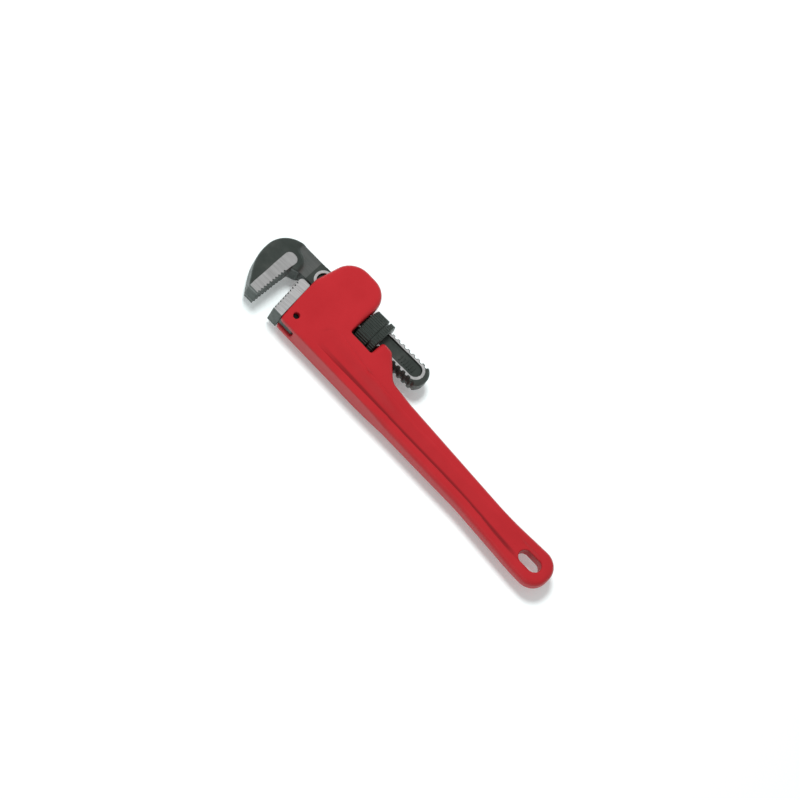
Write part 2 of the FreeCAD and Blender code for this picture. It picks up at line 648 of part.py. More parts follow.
def make_adjusting_nut():
    """Knurled nut: two collars with a groove between them, threaded to fit the shank."""
    body = new_body("adjusting_nut")
    profile = new_sketch(body, "nut_profile")
    add_polygon(profile, nut_profile())
    turned = body.newObject("PartDesign::Revolution", "nut_turned")
    turned.Profile = profile
    turned.ReferenceAxis = (origin_feature(body, "X_Axis"), [""])
    turned.Angle = 360
    doc.recompute()
    start = ("Dims.thread_start + 2.5 * Dims.thread_pitch",
             SIZE["thread_start"] + 2.5 * SIZE["thread_pitch"])
    thread_cut(body, "nut_thread", cell("nut_thread_radius"), scaled("nut_bore_radius", 0.97),
               "nut_root_gap", "nut_crest_gap", start, f"{-2 * start[1]}")
    return body


def make_flat_spring():
    """Leaf that lies on the back of the shank, with turned-up ends."""
    body = new_body("flat_spring")
    front = cell("leaf_front_x")
    rear = cell("leaf_rear_x")
    bends = (("Dims.leaf_front_x + Dims.leaf_bend", front[1] + SIZE["leaf_bend"]),
             ("Dims.leaf_rear_x - Dims.leaf_bend", rear[1] - SIZE["leaf_bend"]))
    low = cell("leaf_y")
    top = ("Dims.leaf_y + Dims.leaf_gauge", low[1] + SIZE["leaf_gauge"])
    low_end = ("Dims.leaf_y + Dims.leaf_lift", low[1] + SIZE["leaf_lift"])
    top_end = ("Dims.leaf_y + Dims.leaf_gauge + Dims.leaf_lift", top[1] + SIZE["leaf_lift"])
    sketch = new_sketch(body, "leaf_side")
    add_polygon(sketch, [(front, low_end), (bends[0], low), (bends[1], low), (rear, low_end),
                         (rear, top_end), (bends[1], top), (bends[0], top), (front, top_end)])
    pad(body, sketch, "Dims.leaf_width")
    hole = new_sketch(body, "leaf_hole", "XZ_Plane")
    add_circle(hole, cell("spring_x"), 0.0, "rivet_radius")
    pocket(body, hole)
    return body


def make_coil_spring():
    """Compression spring between the leaf and the floor of its pocket in the hump."""
    body = new_body("coil_spring")
    wire = new_sketch(body, "wire", "XZ_Plane")
    add_circle(wire, cell("coil_radius"), 0.0, "coil_wire_radius")
    helix = body.newObject("PartDesign::AdditiveHelix", "coil")
    helix.Profile = wire
    helix.ReferenceAxis = (origin_feature(body, "Z_Axis"), [""])
    helix.Mode = "pitch-height-angle"
    bind(helix, Pitch="Dims.coil_pitch", Height="Dims.coil_length")
    body.Placement = FreeCAD.Placement(
        FreeCAD.Vector(SIZE["spring_x"], SIZE["coil_y"], 0),
        FreeCAD.Rotation(FreeCAD.Vector(1, 0, 0), -90))
    return body


def make_spring_rivet():
    """Rivet that keeps the coil spring on the leaf."""
    across = FreeCAD.Rotation(FreeCAD.Vector(1, 0, 0), -90)
    pieces = []
    for name, radius, height, start in (
            ("rivet_stem", "rivet_radius", "leaf_gauge", SIZE["leaf_y"]),
            ("rivet_head", "rivet_head_radius", "rivet_head_height",
             SIZE["leaf_y"] + SIZE["leaf_gauge"])):
        piece = doc.addObject("Part::Cylinder", name)
        bind(piece, Radius=f"Dims.{radius}", Height=f"Dims.{height}")
        piece.Placement = FreeCAD.Placement(FreeCAD.Vector(SIZE["spring_x"], start, 0), across)
        pieces.append(piece)
    rivet = doc.addObject("Part::MultiFuse", "spring_rivet")
    rivet.Label = "spring_rivet"
    rivet.Shapes = pieces
    return rivet


def set_down(part, leaning):
    """Place a part in the row's frame, leaning with the hook jaw where it rides on it."""
    base = FreeCAD.Placement(
        FreeCAD.Vector(-SIZE["origin_x"], -SIZE["origin_y"], SIZE["head_thickness"] / 2),
        FreeCAD.Rotation())
    lean = FreeCAD.Placement(
        FreeCAD.Vector(), FreeCAD.Rotation(FreeCAD.Vector(0, 0, 1), SIZE["rest_lean"]))
    part.Placement = base * lean * part.Placement if leaning else base * part.Placement


def check_document(parts):
    """Stop if any feature failed or a part has no sound solid."""
    for item in doc.Objects:
        if "Invalid" in item.State or "Error" in item.State:
            raise RuntimeError(item.Name + " failed to compute")
    for part in parts:
        if part.Shape.isNull() or not part.Shape.isValid() or len(part.Shape.Solids) != 1:
            raise RuntimeError(part.Label + " is not one sound solid")


def main():
    fill_sheet()
    fixed = [make_handle(), make_heel_jaw(), make_heel_jaw_pin(), make_coil_spring()]
    leaning = [make_hook_jaw(), make_adjusting_nut(), make_flat_spring(), make_spring_rivet()]
    doc.recompute()
    for part in fixed:
        set_down(part, False)
    for part in leaning:
        set_down(part, True)
    doc.recompute()
    parts = fixed + leaning
    check_document(parts)
    os.makedirs("parts", exist_ok=True)
    whole = FreeCAD.BoundBox()
    for part in parts:
        part.Shape.exportStep(f"parts/{part.Label}.step")
        whole.add(part.Shape.optimalBoundingBox(False))
        print(f"{part.Label}: {part.Shape.Volume / 1000:.2f} cm3")
    print(f"box centre {whole.Center.x:.2f} {whole.Center.y:.2f}, lowest {whole.ZMin:.2f}")
    print(f"box size {whole.XLength:.2f} {whole.YLength:.2f} {whole.ZLength:.2f}")


main()
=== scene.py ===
"""Looks of an adjustable pipe wrench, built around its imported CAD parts.

Everything is in metres, in the row frame: the wrench lies on its side, its handle along +X, its
jaws towards -X and open towards -Y. Pieces made here stand for the CAD nodes of the same place.
"""
import json
import math

import bmesh
import bpy
from mathutils import Matrix, Vector


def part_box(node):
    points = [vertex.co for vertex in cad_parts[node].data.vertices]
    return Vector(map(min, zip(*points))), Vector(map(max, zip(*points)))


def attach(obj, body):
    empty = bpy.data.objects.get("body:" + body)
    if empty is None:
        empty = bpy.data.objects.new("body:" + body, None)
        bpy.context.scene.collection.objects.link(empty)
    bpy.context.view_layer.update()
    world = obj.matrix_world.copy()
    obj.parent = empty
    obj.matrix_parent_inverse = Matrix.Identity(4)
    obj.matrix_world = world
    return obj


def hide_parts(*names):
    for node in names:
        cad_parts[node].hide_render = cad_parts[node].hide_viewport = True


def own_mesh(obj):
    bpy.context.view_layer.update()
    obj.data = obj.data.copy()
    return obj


MM = 0.001

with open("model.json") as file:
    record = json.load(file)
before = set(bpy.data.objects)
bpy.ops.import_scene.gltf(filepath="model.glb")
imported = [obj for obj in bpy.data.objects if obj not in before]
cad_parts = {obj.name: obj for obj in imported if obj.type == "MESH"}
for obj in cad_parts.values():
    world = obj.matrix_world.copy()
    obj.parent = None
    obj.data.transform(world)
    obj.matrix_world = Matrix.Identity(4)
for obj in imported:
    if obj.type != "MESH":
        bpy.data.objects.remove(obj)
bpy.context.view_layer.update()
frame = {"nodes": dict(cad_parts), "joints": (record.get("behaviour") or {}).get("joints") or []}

JOINTS = {joint["name"]: joint for joint in frame["joints"]}
SCREW_AXIS = Vector(JOINTS["nut_spin"]["axis"]).normalized()
NUT_CENTRE = Vector(JOINTS["nut_spin"]["pos_m"])
LEAN = math.atan2(SCREW_AXIS.y, SCREW_AXIS.x)

# Cast handle, measured from the nut's centre; pairs of plain numbers are in millimetres
CAST_GRAIN = 0.72 * MM
CAST_SOFTENING = 5
CHANNEL_SOFTENING = 40
CHANNEL_RIM = (1.0 * MM, 4.5 * MM)
CHANNEL_RIM_LEVEL = 5.0 * MM
CHANNEL_START = (-31.0 * MM, -6.0 * MM)
CHANNEL_END = (172.0 * MM, 186.0 * MM)
CHANNEL_FRONT = -45.5 * MM
CHANNEL_VALLEY = -40.0 * MM
VALLEY_EASE = 3.0 * MM
CHANNEL_BACK = ((-19.0, -23.6), (20.0, -29.0), (207.0, -31.0))
CHANNEL_FLOOR = ((-31.0, 8.6), (60.0, 4.3), (138.0, 4.3), (212.0, 5.0))
SIDE_ALONG = ((4.0, 15.0), (58.0, 8.2), (240.0, 5.3))
SIDE_ACROSS = ((-49.6, 8.2), (-4.0, 15.0))

# Painted shade: darker enamel in the corner between the channel's web and its front flange
CREASE_BEND = (110.0 * MM, 207.0 * MM)
CREASE_PLACE = (-40.5 * MM, -44.4 * MM)
CREASE_WIDTH = (1.0 * MM, 2.8 * MM)
CREASE_TOP_SPAN = (-30.0 * MM, 60.0 * MM)
CREASE_TOP = (9.4 * MM, 6.9 * MM)
CREASE_DEPTH = 0.8 * MM
CREASE_START = (-26.0 * MM, 14.0 * MM)
CREASE_END = (176.0 * MM, 192.0 * MM)
CREASE_SHADE_RED = (0.235, 0.0088, 0.0125)

# Hook, neck and shank, heights measured from the mid-plane
LAND_LEVEL = 9.62 * MM
LAND_BRIGHTNESS = 0.72
NECK_BRIGHTNESS = 0.10
LAND_EDGE = 0.25 * MM
FLAT_EDGE = 0.1 * MM
NECK_END = (-62.5 * MM, -62.0 * MM)
NECK_BAND = (5.7 * MM, 6.0 * MM)
RIM_TOP = (7.2 * MM, 7.3 * MM)
CHEEK_FOOT = (6.9 * MM, 8.2 * MM)
RIM_LEVEL = 6.22 * MM
HEEL_SIDE_LEVEL = 10.0 * MM
FORGED_GRAIN = 0.42 * MM
FORGED_SOFTENING = 2
CHEEK_CENTRE = (-80.0 * MM, -9.0 * MM)
CHEEK_REACH = (7.2 * MM, 14.0 * MM)
CHEEK_SIDE = (-86.0 * MM, -77.0 * MM)
CHEEK_THROAT = (-15.5 * MM, -12.0 * MM)
CHEEK_END = -61.0 * MM
CHEEK_LEVEL = 10.0 * MM
NECK_LEVEL = 6.1 * MM
TIP_CENTRE = 40.2 * MM
TIP_RING = 7.8 * MM
TIP_ROUND = 4.4 * MM
TIP_FALL = 0.62

# Adjusting nut
NUT_RADIUS = 14.6 * MM
NUT_LENGTH = 17.8 * MM
NUT_CHAMFER = 1.0 * MM
GROOVE_PLACE = 3.4 * MM
GROOVE_WIDTH = 1.6 * MM
COLLAR_DEPTH = 1.4 * MM
RIB_SET_BACK = 0.1 * MM
CHAMFER_SHARE = 0.6
RIB_RADIUS = 0.62 * MM
RIB_COUNT = 44
RIB_SINK = 0.5 * MM

# Coil spring
SPRING_TURNS = 5.0
SPRING_WIRE = 0.6 * MM

# Tally bars in the shank's recess
TALLY_COUNT = 6
TALLY_PITCH = 2.5 * MM
TALLY_SIZE = (0.9 * MM, 5.0 * MM, 1.0 * MM)
TALLY_START = 27.0 * MM
TALLY_LEVEL = 4.3 * MM
TALLY_BEVEL = 0.15 * MM

# Clean-up of the CAD meshes
WELD = 0.002 * MM
DEGENERATE = 0.0005 * MM

# Camera, in degrees and metres
CAMERA_TURN = 11.0
CAMERA_TILT = 27.0
CAMERA_ROLL = 36.17
CAMERA_TARGET = NUT_CENTRE + Vector((0.0490, -0.0214, 0.0))
CAMERA_DISTANCE = 3.2
CAMERA_FIELD = 0.576


# ---------------------------------------------------------------- materials


class Finish:
    """A procedural material under construction: a node tree with a few short-hand calls."""

    def __init__(self, name):
        self.material = bpy.data.materials.new(name)
        self.material.use_nodes = True
        self.nodes = self.material.node_tree.nodes
        self.links = self.material.node_tree.links
        self.shader = self.nodes["Principled BSDF"]
        self.place = self.nodes.new("ShaderNodeTexCoord").outputs["Object"]

    def add(self, kind, **settings):
        node = self.nodes.new(kind)
        for key, value in settings.items():
            setattr(node, key, value)
        return node

    def join(self, source, target):
        self.links.new(source, target)

    def fixed(self, **values):
        """Numbers that are the same all over, set on the shader's own sockets."""
        for key, value in values.items():
            self.shader.inputs[key.replace("_", " ")].default_value = value

    def mapped(self, scale=(1, 1, 1), turn=0.0, centre=(0, 0, 0)):
        """Object coordinates about a centre, turned about Z and stretched."""
        mapping = self.add("ShaderNodeMapping", vector_type="TEXTURE")
        mapping.inputs["Location"].default_value = centre
        mapping.inputs["Rotation"].default_value = (0, 0, turn)
        stretch = self.add("ShaderNodeVectorMath", operation="MULTIPLY")
        stretch.inputs[1].default_value = scale
        self.join(self.place, mapping.inputs["Vector"])
        self.join(mapping.outputs["Vector"], stretch.inputs[0])
        return stretch.outputs["Vector"]

    def noise(self, vector, scale, detail=4.0, roughness=0.55):
        node = self.add("ShaderNodeTexNoise")
        node.inputs["Scale"].default_value = scale
        node.inputs["Detail"].default_value = detail
        node.inputs["Roughness"].default_value = roughness
        self.join(vector, node.inputs["Vector"])
        return node.outputs["Fac"]

    def ramp(self, factor, *stops):
        """A colour ramp from (position, grey or colour) stops."""
        node = self.add("ShaderNodeValToRGB")
        band = node.color_ramp
        while len(band.elements) < len(stops):
            band.elements.new(0.5)
        for element, (position, value) in zip(band.elements, stops):
            element.position = position
            shade = (value,) * 3 if isinstance(value, (int, float)) else value
            element.color = (*shade, 1.0)
        self.join(factor, node.inputs["Fac"])
        return node.outputs["Color"]

    def span(self, factor, low, high, to_low=0.0, to_high=1.0):
        node = self.add("ShaderNodeMapRange", interpolation_type="SMOOTHSTEP")
        keys = ("From Min", "From Max", "To Min", "To Max")
        for key, value in zip(keys, (low, high, to_low, to_high)):
            node.inputs[key].default_value = value
        self.join(factor, node.inputs["Value"])
        return node.outputs["Result"]

    def math(self, operation, first, second=None):
        node = self.add("ShaderNodeMath", operation=operation)
        for socket, value in zip(node.inputs, (first, second)):
            if isinstance(value, (int, float)):
                socket.default_value = value
            elif value is not None:
                self.join(value, socket)
        return node.outputs["Value"]

    def blend(self, factor, first, second, kind="MIX"):
        node = self.add("ShaderNodeMix", data_type="RGBA", blend_type=kind)
        sockets = {"Factor": factor, "A": first, "B": second}
        for socket in node.inputs:
            wanted = sockets.get(socket.name)
            if not socket.enabled or wanted is None:
                continue
            if isinstance(wanted, (int, float)):
                socket.default_value = wanted
            elif isinstance(wanted, tuple):
                socket.default_value = (*wanted, 1.0)
            else:
                self.join(wanted, socket)
        return next(output for output in node.outputs if output.enabled)

    def bump(self, *layers):
        """Stacks bumps, each (height, depth in metres, strength), and returns the last normal."""
        normal = None
        for height, depth, strength in layers:
            node = self.add("ShaderNodeBump")
            node.inputs["Distance"].default_value = depth
            node.inputs["Strength"].default_value = strength
            self.join(height, node.inputs["Height"])
            if normal is not None:
                self.join(normal, node.inputs["Normal"])
            normal = node.outputs["Normal"]
        return normal

    def finish(self, colour, roughness, normal, metallic=None):
        self.join(colour, self.shader.inputs["Base Color"])
        self.join(roughness, self.shader.inputs["Roughness"])
        self.join(normal, self.shader.inputs["Normal"])
        if metallic is not None:
            self.join(metallic, self.shader.inputs["Metallic"])
        return self.material


def crease_shade(paint):
    """A mask of the corner between the channel's web and its front flange, where painted shade
    darkens the enamel.
    """
    local = paint.mapped(centre=tuple(NUT_CENTRE))
    parts = paint.add("ShaderNodeSeparateXYZ")
    paint.join(local, parts.inputs["Vector"])
    along, across = parts.outputs["X"], parts.outputs["Y"]
    line = paint.span(along, *CREASE_BEND, *CREASE_PLACE)
    away = paint.math("ABSOLUTE", paint.math("SUBTRACT", across, line))
    near = paint.span(away, *CREASE_WIDTH, 1.0, 0.0)
    top = paint.span(along, *CREASE_TOP_SPAN, *CREASE_TOP)
    below = paint.math("SUBTRACT", top, paint.math("ABSOLUTE", parts.outputs["Z"]))
    deep = paint.span(below, 0.0, CREASE_DEPTH)
    begins = paint.span(along, *CREASE_START)
    ends = paint.math("MULTIPLY", begins, paint.span(along, *CREASE_END, 1.0, 0.0))
    return paint.math("MULTIPLY", paint.math("MULTIPLY", near, deep), ends)


def red_enamel():
    """Thick baked enamel over a sand-cast surface."""
    paint = Finish("red_enamel")
    place = paint.mapped()
    cloud = paint.noise(place, 34.0, 3.0)
    grain = paint.noise(place, 900.0, 3.0, 0.5)
    peel = paint.noise(place, 260.0, 2.0, 0.4)
    specks = paint.noise(place, 1500.0, 1.0, 0.5)
    colour = paint.ramp(cloud, (0.3, (0.412, 0.0138, 0.0195)), (0.7, (0.452, 0.0176, 0.0240)))
    dust = paint.ramp(specks, (0.2, 0.72), (0.3, 1.0))
    colour = paint.blend(1.0, colour, dust, "MULTIPLY")
    # Painted shade: the corner beside the front flange is darkened in the enamel's colour.
    colour = paint.blend(crease_shade(paint), colour, CREASE_SHADE_RED)
    roughness = paint.span(cloud, 0.25, 0.75, 0.34, 0.44)
    normal = paint.bump((peel, 0.12 * MM, 0.35), (grain, 0.03 * MM, 0.3))
    paint.fixed(Specular_IOR_Level=0.24, Coat_Weight=0.08, Coat_Roughness=0.25)
    return paint.finish(colour, roughness, normal)


def dark_oxide(name="black_oxide", light=1.0):
    """Forged steel blackened in oil: mottled, a little green, worn grey in places."""
    steel = Finish(name)
    place = steel.mapped()
    cloud = steel.noise(place, 60.0, 5.0, 0.6)
    scale = steel.noise(place, 420.0, 4.0, 0.6)
    colour = steel.ramp(
        cloud,
        (0.3, (0.040 * light, 0.052 * light, 0.046 * light)),
        (0.55, (0.058 * light, 0.070 * light, 0.063 * light)),
        (0.8, (0.092 * light, 0.101 * light, 0.092 * light)),
    )
    roughness = steel.span(scale, 0.3, 0.7, 0.36, 0.52)
    normal = steel.bump((scale, 0.10 * MM, 0.35), (steel.noise(place, 1300.0, 2.0), 0.03 * MM, 0.3))
    steel.fixed(Metallic=0.6, Specular_IOR_Level=0.6)
    return steel.finish(colour, roughness, normal)


def ground_over_oxide(name, bright, turn, centre=NUT_CENTRE):
    """Blackened steel with ground-bright flats. bright(finish, along, across, height) gives a mask
    from the distances along, across and away from the mid-plane."""
    steel = Finish(name)
    local = steel.mapped(turn=turn, centre=tuple(centre))
    parts = steel.add("ShaderNodeSeparateXYZ")
    steel.join(local, parts.inputs["Vector"])
    height = steel.math("ABSOLUTE", parts.outputs["Z"])
    mask = bright(steel, parts.outputs["X"], parts.outputs["Y"], height)

    cloud = steel.noise(local, 60.0, 5.0, 0.6)
    scale = steel.noise(local, 420.0, 4.0, 0.6)
    lines = steel.add("ShaderNodeVectorMath", operation="MULTIPLY")
    lines.inputs[1].default_value = (0.05, 1.0, 0.3)
    steel.join(local, lines.inputs[0])
    brush = steel.noise(lines.outputs["Vector"], 1500.0, 3.0, 0.65)
    strokes = steel.noise(lines.outputs["Vector"], 620.0, 2.0, 0.5)
    smear = steel.noise(local, 90.0, 3.0)

    oxide = steel.ramp(
        cloud,
        (0.3, (0.040, 0.052, 0.046)),
        (0.55, (0.060, 0.072, 0.065)),
        (0.8, (0.098, 0.107, 0.098)),
    )
    polish = steel.ramp(brush, (0.25, 0.55), (0.5, 0.78), (0.75, 0.92))
    polish = steel.blend(0.45, polish, steel.ramp(strokes, (0.35, 0.42), (0.6, 0.86)), "MIX")
    polish = steel.blend(0.35, polish, steel.ramp(smear, (0.3, 0.60), (0.7, 0.86)), "MIX")
    colour = steel.blend(mask, oxide, polish)

    dull = steel.span(scale, 0.3, 0.7, 0.36, 0.52)
    shine = steel.span(brush, 0.25, 0.75, 0.26, 0.40)
    roughness = steel.blend(mask, dull, shine)
    metallic = steel.span(mask, 0.0, 1.0, 0.55, 0.82)
    normal = steel.bump((scale, 0.08 * MM, 0.3), (brush, 0.02 * MM, 0.35))
    steel.fixed(Specular_IOR_Level=0.5)
    return steel.finish(colour, roughness, normal, metallic)


def hook_flats(steel, along, across, height):
    """The raised land beside the teeth, and the rims and thread tops of the shank."""
    land = steel.span(height, LAND_LEVEL, LAND_LEVEL + LAND_EDGE, 0.0, LAND_BRIGHTNESS)
    rim = steel.span(height, RIM_LEVEL, RIM_LEVEL + FLAT_EDGE)
    thin = steel.span(height, *RIM_TOP, 1.0, 0.0)
    behind = steel.span(along, *NECK_END)
    rim = steel.math("MULTIPLY", steel.math("MULTIPLY", rim, thin), behind)
    neck = steel.math("SUBTRACT", 1.0, behind)
    worn = steel.span(height, *NECK_BAND, 0.0, NECK_BRIGHTNESS)
    neck = steel.math("MULTIPLY", neck, worn)
    neck = steel.math("MULTIPLY", neck, steel.span(height, *CHEEK_FOOT, 1.0, 0.0))
    return steel.math("MAXIMUM", steel.math("MAXIMUM", land, rim), neck)


def heel_flats(steel, along, across, height):
    """The ground sides of the heel jaw."""
    return steel.span(height, HEEL_SIDE_LEVEL, HEEL_SIDE_LEVEL + FLAT_EDGE)


def bright_steel(name, shade):
    """Drawn or rolled spring and pin steel; the pin's copy is set almost black, as painted shade.
    """
    steel = Finish(name)
    place = steel.mapped()
    cloud = steel.noise(place, 150.0, 4.0)
    fine = steel.noise(steel.mapped(scale=(0.1, 1, 1)), 1800.0, 3.0)
    colour = steel.ramp(cloud, (0.3, shade * 0.72), (0.7, shade))
    roughness = steel.span(fine, 0.3, 0.7, 0.28, 0.42)
    normal = steel.bump((fine, 0.02 * MM, 0.3))
    steel.fixed(Metallic=1.0)
    return steel.finish(colour, roughness, normal)


def floor_white():
    """Matt white paper."""
    paper = Finish("white_paper")
    fibre = paper.noise(paper.mapped(), 700.0, 2.0)
    colour = paper.ramp(fibre, (0.3, (0.79, 0.87, 0.87)), (0.7, (0.81, 0.89, 0.89)))
    roughness = paper.span(fibre, 0.3, 0.7, 0.88, 0.94)
    paper.fixed(Specular_IOR_Level=0.1, Emission_Color=(1.0, 1.0, 1.0, 1.0), Emission_Strength=0.17)
    return paper.finish(colour, roughness, paper.bump((fibre, 0.02 * MM, 0.1)))


# ---------------------------------------------------------------- meshes


def new_piece(name, mesh, material):
    mesh.name = name
    mesh.materials.clear()
    mesh.materials.append(material)
    piece = bpy.data.objects.new(name, mesh)
    bpy.context.scene.collection.objects.link(piece)
    return piece


def merged_copy(node):
    """A copy of a CAD node's mesh with its loose triangles joined."""
    mesh = frame["nodes"][node].data.copy()
    work = bmesh.new()
    work.from_mesh(mesh)
    bmesh.ops.remove_doubles(work, verts=work.verts, dist=WELD)
    bmesh.ops.dissolve_degenerate(work, edges=work.edges, dist=DEGENERATE)
    work.to_mesh(mesh)
    work.free()
    for name in ("custom_normal", "sharp_edge", "sharp_face"):
        attribute = mesh.attributes.get(name)
        if attribute is not None:
            mesh.attributes.remove(attribute)
    return mesh


def shade(mesh, angle):
    """Smooth shading that breaks at edges sharper than the angle, in degrees."""
    mesh.shade_smooth()
    mesh.set_sharp_from_angle(angle=math.radians(angle))


def plain_mesh(piece):
    """The evaluated shape of a piece, as a plain mesh."""
    graph = bpy.context.evaluated_depsgraph_get()
    mesh = bpy.data.meshes.new_from_object(piece.evaluated_get(graph))
    piece.modifiers.clear()
    return mesh


def fit_to_body(piece, body, slot, *nodes):
    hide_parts(*nodes)
    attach(piece, body)


def screw_frame(along=0.0):
    """Placement whose X axis is the screw's axis, at a distance along it from the nut's centre."""
    turn = Matrix.Rotation(LEAN, 4, "Z")
    return Matrix.Translation(NUT_CENTRE) @ turn @ Matrix.Translation((along, 0, 0))


# ---------------------------------------------------------------- geometry nodes


class Tree:
    """A Geometry Nodes tree with named inputs, ending in Realize Instances and Set Material."""

    def __init__(self, name):
        self.group = bpy.data.node_groups.new(name, "GeometryNodeTree")
        sockets = self.group.interface
        sockets.new_socket("Geometry", in_out="OUTPUT", socket_type="NodeSocketGeometry")
        self.sizes = {}
        self.start = None

    def size(self, name, value, kind="NodeSocketFloat"):
        socket = self.group.interface.new_socket(name, in_out="INPUT", socket_type=kind)
        self.sizes[socket.identifier] = (name, value)

    def add(self, kind, **settings):
        node = self.group.nodes.new(kind)
        for key, value in settings.items():
            setattr(node, key, value)
        return node

    def given(self, name):
        if self.start is None:
            self.start = self.group.nodes.new("NodeGroupInput")
        return self.start.outputs[name]

    def join(self, source, target):
        self.group.links.new(source, target)

    def close(self, geometry, smooth=True):
        realize = self.add("GeometryNodeRealizeInstances")
        paint = self.add("GeometryNodeSetMaterial")
        shading = self.add("GeometryNodeSetShadeSmooth")
        shading.inputs["Shade Smooth"].default_value = smooth
        end = self.add("NodeGroupOutput")
        self.join(geometry, realize.inputs["Geometry"])
        self.join(realize.outputs["Geometry"], shading.inputs["Geometry"])
        self.join(shading.outputs["Geometry"], paint.inputs["Geometry"])
        self.join(self.given("Finish"), paint.inputs["Material"])
        self.join(paint.outputs["Geometry"], end.inputs["Geometry"])

    def build(self, material):
        """Runs the tree on an empty mesh and returns the result as a plain mesh."""
        carrier = bpy.data.objects.new(self.group.name, bpy.data.meshes.new(self.group.name))
        bpy.context.scene.collection.objects.link(carrier)
        modifier = carrier.modifiers.new(self.group.name, "NODES")
        modifier.node_group = self.group
        for identifier, (name, value) in self.sizes.items():
            modifier[identifier] = material if name == "Finish" else value
        mesh = plain_mesh(carrier)
        bpy.data.objects.remove(carrier)
        return mesh


def ribbed_collar(material, length):
    """Round ribs side by side about a collar, along the X axis."""
    tree = Tree("collar_ribs")
    tree.size("Ribs", RIB_COUNT, "NodeSocketInt")
    tree.size("Ring Radius", NUT_RADIUS - RIB_SINK)
    tree.size("Rib Radius", RIB_RADIUS)
    tree.size("Rib Length", length)
    tree.size("Finish", None, "NodeSocketMaterial")
    ring = tree.add("GeometryNodeMeshCircle", fill_type="NONE")
    tree.join(tree.given("Ribs"), ring.inputs["Vertices"])
    tree.join(tree.given("Ring Radius"), ring.inputs["Radius"])
    rib = tree.add("GeometryNodeMeshCylinder", fill_type="NGON")
    rib.inputs["Vertices"].default_value = 8
    tree.join(tree.given("Rib Radius"), rib.inputs["Radius"])
    tree.join(tree.given("Rib Length"), rib.inputs["Depth"])
    repeat = tree.add("GeometryNodeInstanceOnPoints")
    tree.join(ring.outputs["Mesh"], repeat.inputs["Points"])
    tree.join(rib.outputs["Mesh"], repeat.inputs["Instance"])
    turn = tree.add("GeometryNodeTransform")
    turn.inputs["Rotation"].default_value = (0, math.pi / 2, 0)
    tree.join(repeat.outputs["Instances"], turn.inputs["Geometry"])
    tree.close(turn.outputs["Geometry"])
    mesh = tree.build(material)
    mesh.set_sharp_from_angle(angle=math.radians(60))
    return mesh


def coiled_wire(material, radius, height):
    """A closed coil of round wire along the Y axis, from its origin."""
    tree = Tree("coiled_wire")
    tree.size("Turns", SPRING_TURNS)
    tree.size("Coil Radius", radius)
    tree.size("Wire Radius", SPRING_WIRE)
    tree.size("Height", height)
    tree.size("Finish", None, "NodeSocketMaterial")
    helix = tree.add("GeometryNodeCurveSpiral")
    helix.inputs["Resolution"].default_value = 28
    tree.join(tree.given("Turns"), helix.inputs["Rotations"])
    tree.join(tree.given("Coil Radius"), helix.inputs["Start Radius"])
    tree.join(tree.given("Coil Radius"), helix.inputs["End Radius"])
    tree.join(tree.given("Height"), helix.inputs["Height"])
    section = tree.add("GeometryNodeCurvePrimitiveCircle", mode="RADIUS")
    section.inputs["Resolution"].default_value = 10
    tree.join(tree.given("Wire Radius"), section.inputs["Radius"])
    wire = tree.add("GeometryNodeCurveToMesh")
    wire.inputs["Fill Caps"].default_value = True
    tree.join(helix.outputs["Curve"], wire.inputs["Curve"])
    tree.join(section.outputs["Curve"], wire.inputs["Profile Curve"])
    turn = tree.add("GeometryNodeTransform")
    turn.inputs["Rotation"].default_value = (-math.pi / 2, 0, 0)
    tree.join(wire.outputs["Mesh"], turn.inputs["Geometry"])
    tree.close(turn.outputs["Geometry"])
    return tree.build(material)


def tally_bars(material):
    """A row of plain raised bars along the X axis."""
    tree = Tree("tally_bars")
    tree.size("Bars", TALLY_COUNT, "NodeSocketInt")
    tree.size("Pitch", TALLY_PITCH)
    tree.size("Bar Size", TALLY_SIZE, "NodeSocketVector")
    tree.size("Finish", None, "NodeSocketMaterial")
    row = tree.add("GeometryNodeMeshLine", mode="OFFSET", count_mode="TOTAL")
    tree.join(tree.given("Bars"), row.inputs["Count"])
    step = tree.add("ShaderNodeCombineXYZ")
    tree.join(tree.given("Pitch"), step.inputs["X"])
    tree.join(step.outputs["Vector"], row.inputs["Offset"])
    bar = tree.add("GeometryNodeMeshCube")
    tree.join(tree.given("Bar Size"), bar.inputs["Size"])
    repeat = tree.add("GeometryNodeInstanceOnPoints")
    tree.join(row.outputs["Mesh"], repeat.inputs["Points"])
    tree.join(bar.outputs["Mesh"], repeat.inputs["Instance"])
    tree.close(repeat.outputs["Instances"], smooth=False)
    mesh = tree.build(material)
    work = bmesh.new()
    work.from_mesh(mesh)
    bmesh.ops.bevel(
        work, geom=work.edges, offset=TALLY_BEVEL, segments=2, affect="EDGES", profile=0.5
    )
    work.to_mesh(mesh)
    work.free()
    return mesh


# ---------------------------------------------------------------- pieces


def along_line(points, value):
    """The height of a broken line, given in millimetres, at a value in metres."""
    value /= MM
    for (low, start), (high, end) in zip(points, points[1:]):
        if value < high:
            share = max(0.0, (value - low) / (high - low))
            return (start + (end - start) * share) * MM
    return points[-1][1] * MM


def ease(value, low, high):
    """A smooth step from 0 at low to 1 at high."""
    share = min(1.0, max(0.0, (value - low) / (high - low)))
    return share * share * (3.0 - 2.0 * share)


def channel_level(place):
    """How far from the mid-plane the channel's web lies: lowest beside the front flange, it rises
    slowly to the back flange and to the housing."""
    back = along_line(CHANNEL_BACK, place.x)
    if not (CHANNEL_START[0] < place.x < CHANNEL_END[1] and CHANNEL_FRONT < place.y < back):
        return 0.0
    floor = along_line(CHANNEL_FLOOR, place.x)
    side = min(along_line(SIDE_ALONG, place.x), along_line(SIDE_ACROSS, place.y))
    rise = max(ease(place.y, CHANNEL_VALLEY, back), 1.0 - ease(place.x, *CHANNEL_START))
    rise *= 1.0 - ease(place.x, *CHANNEL_END)
    return floor + max(0.0, side - floor) * rise


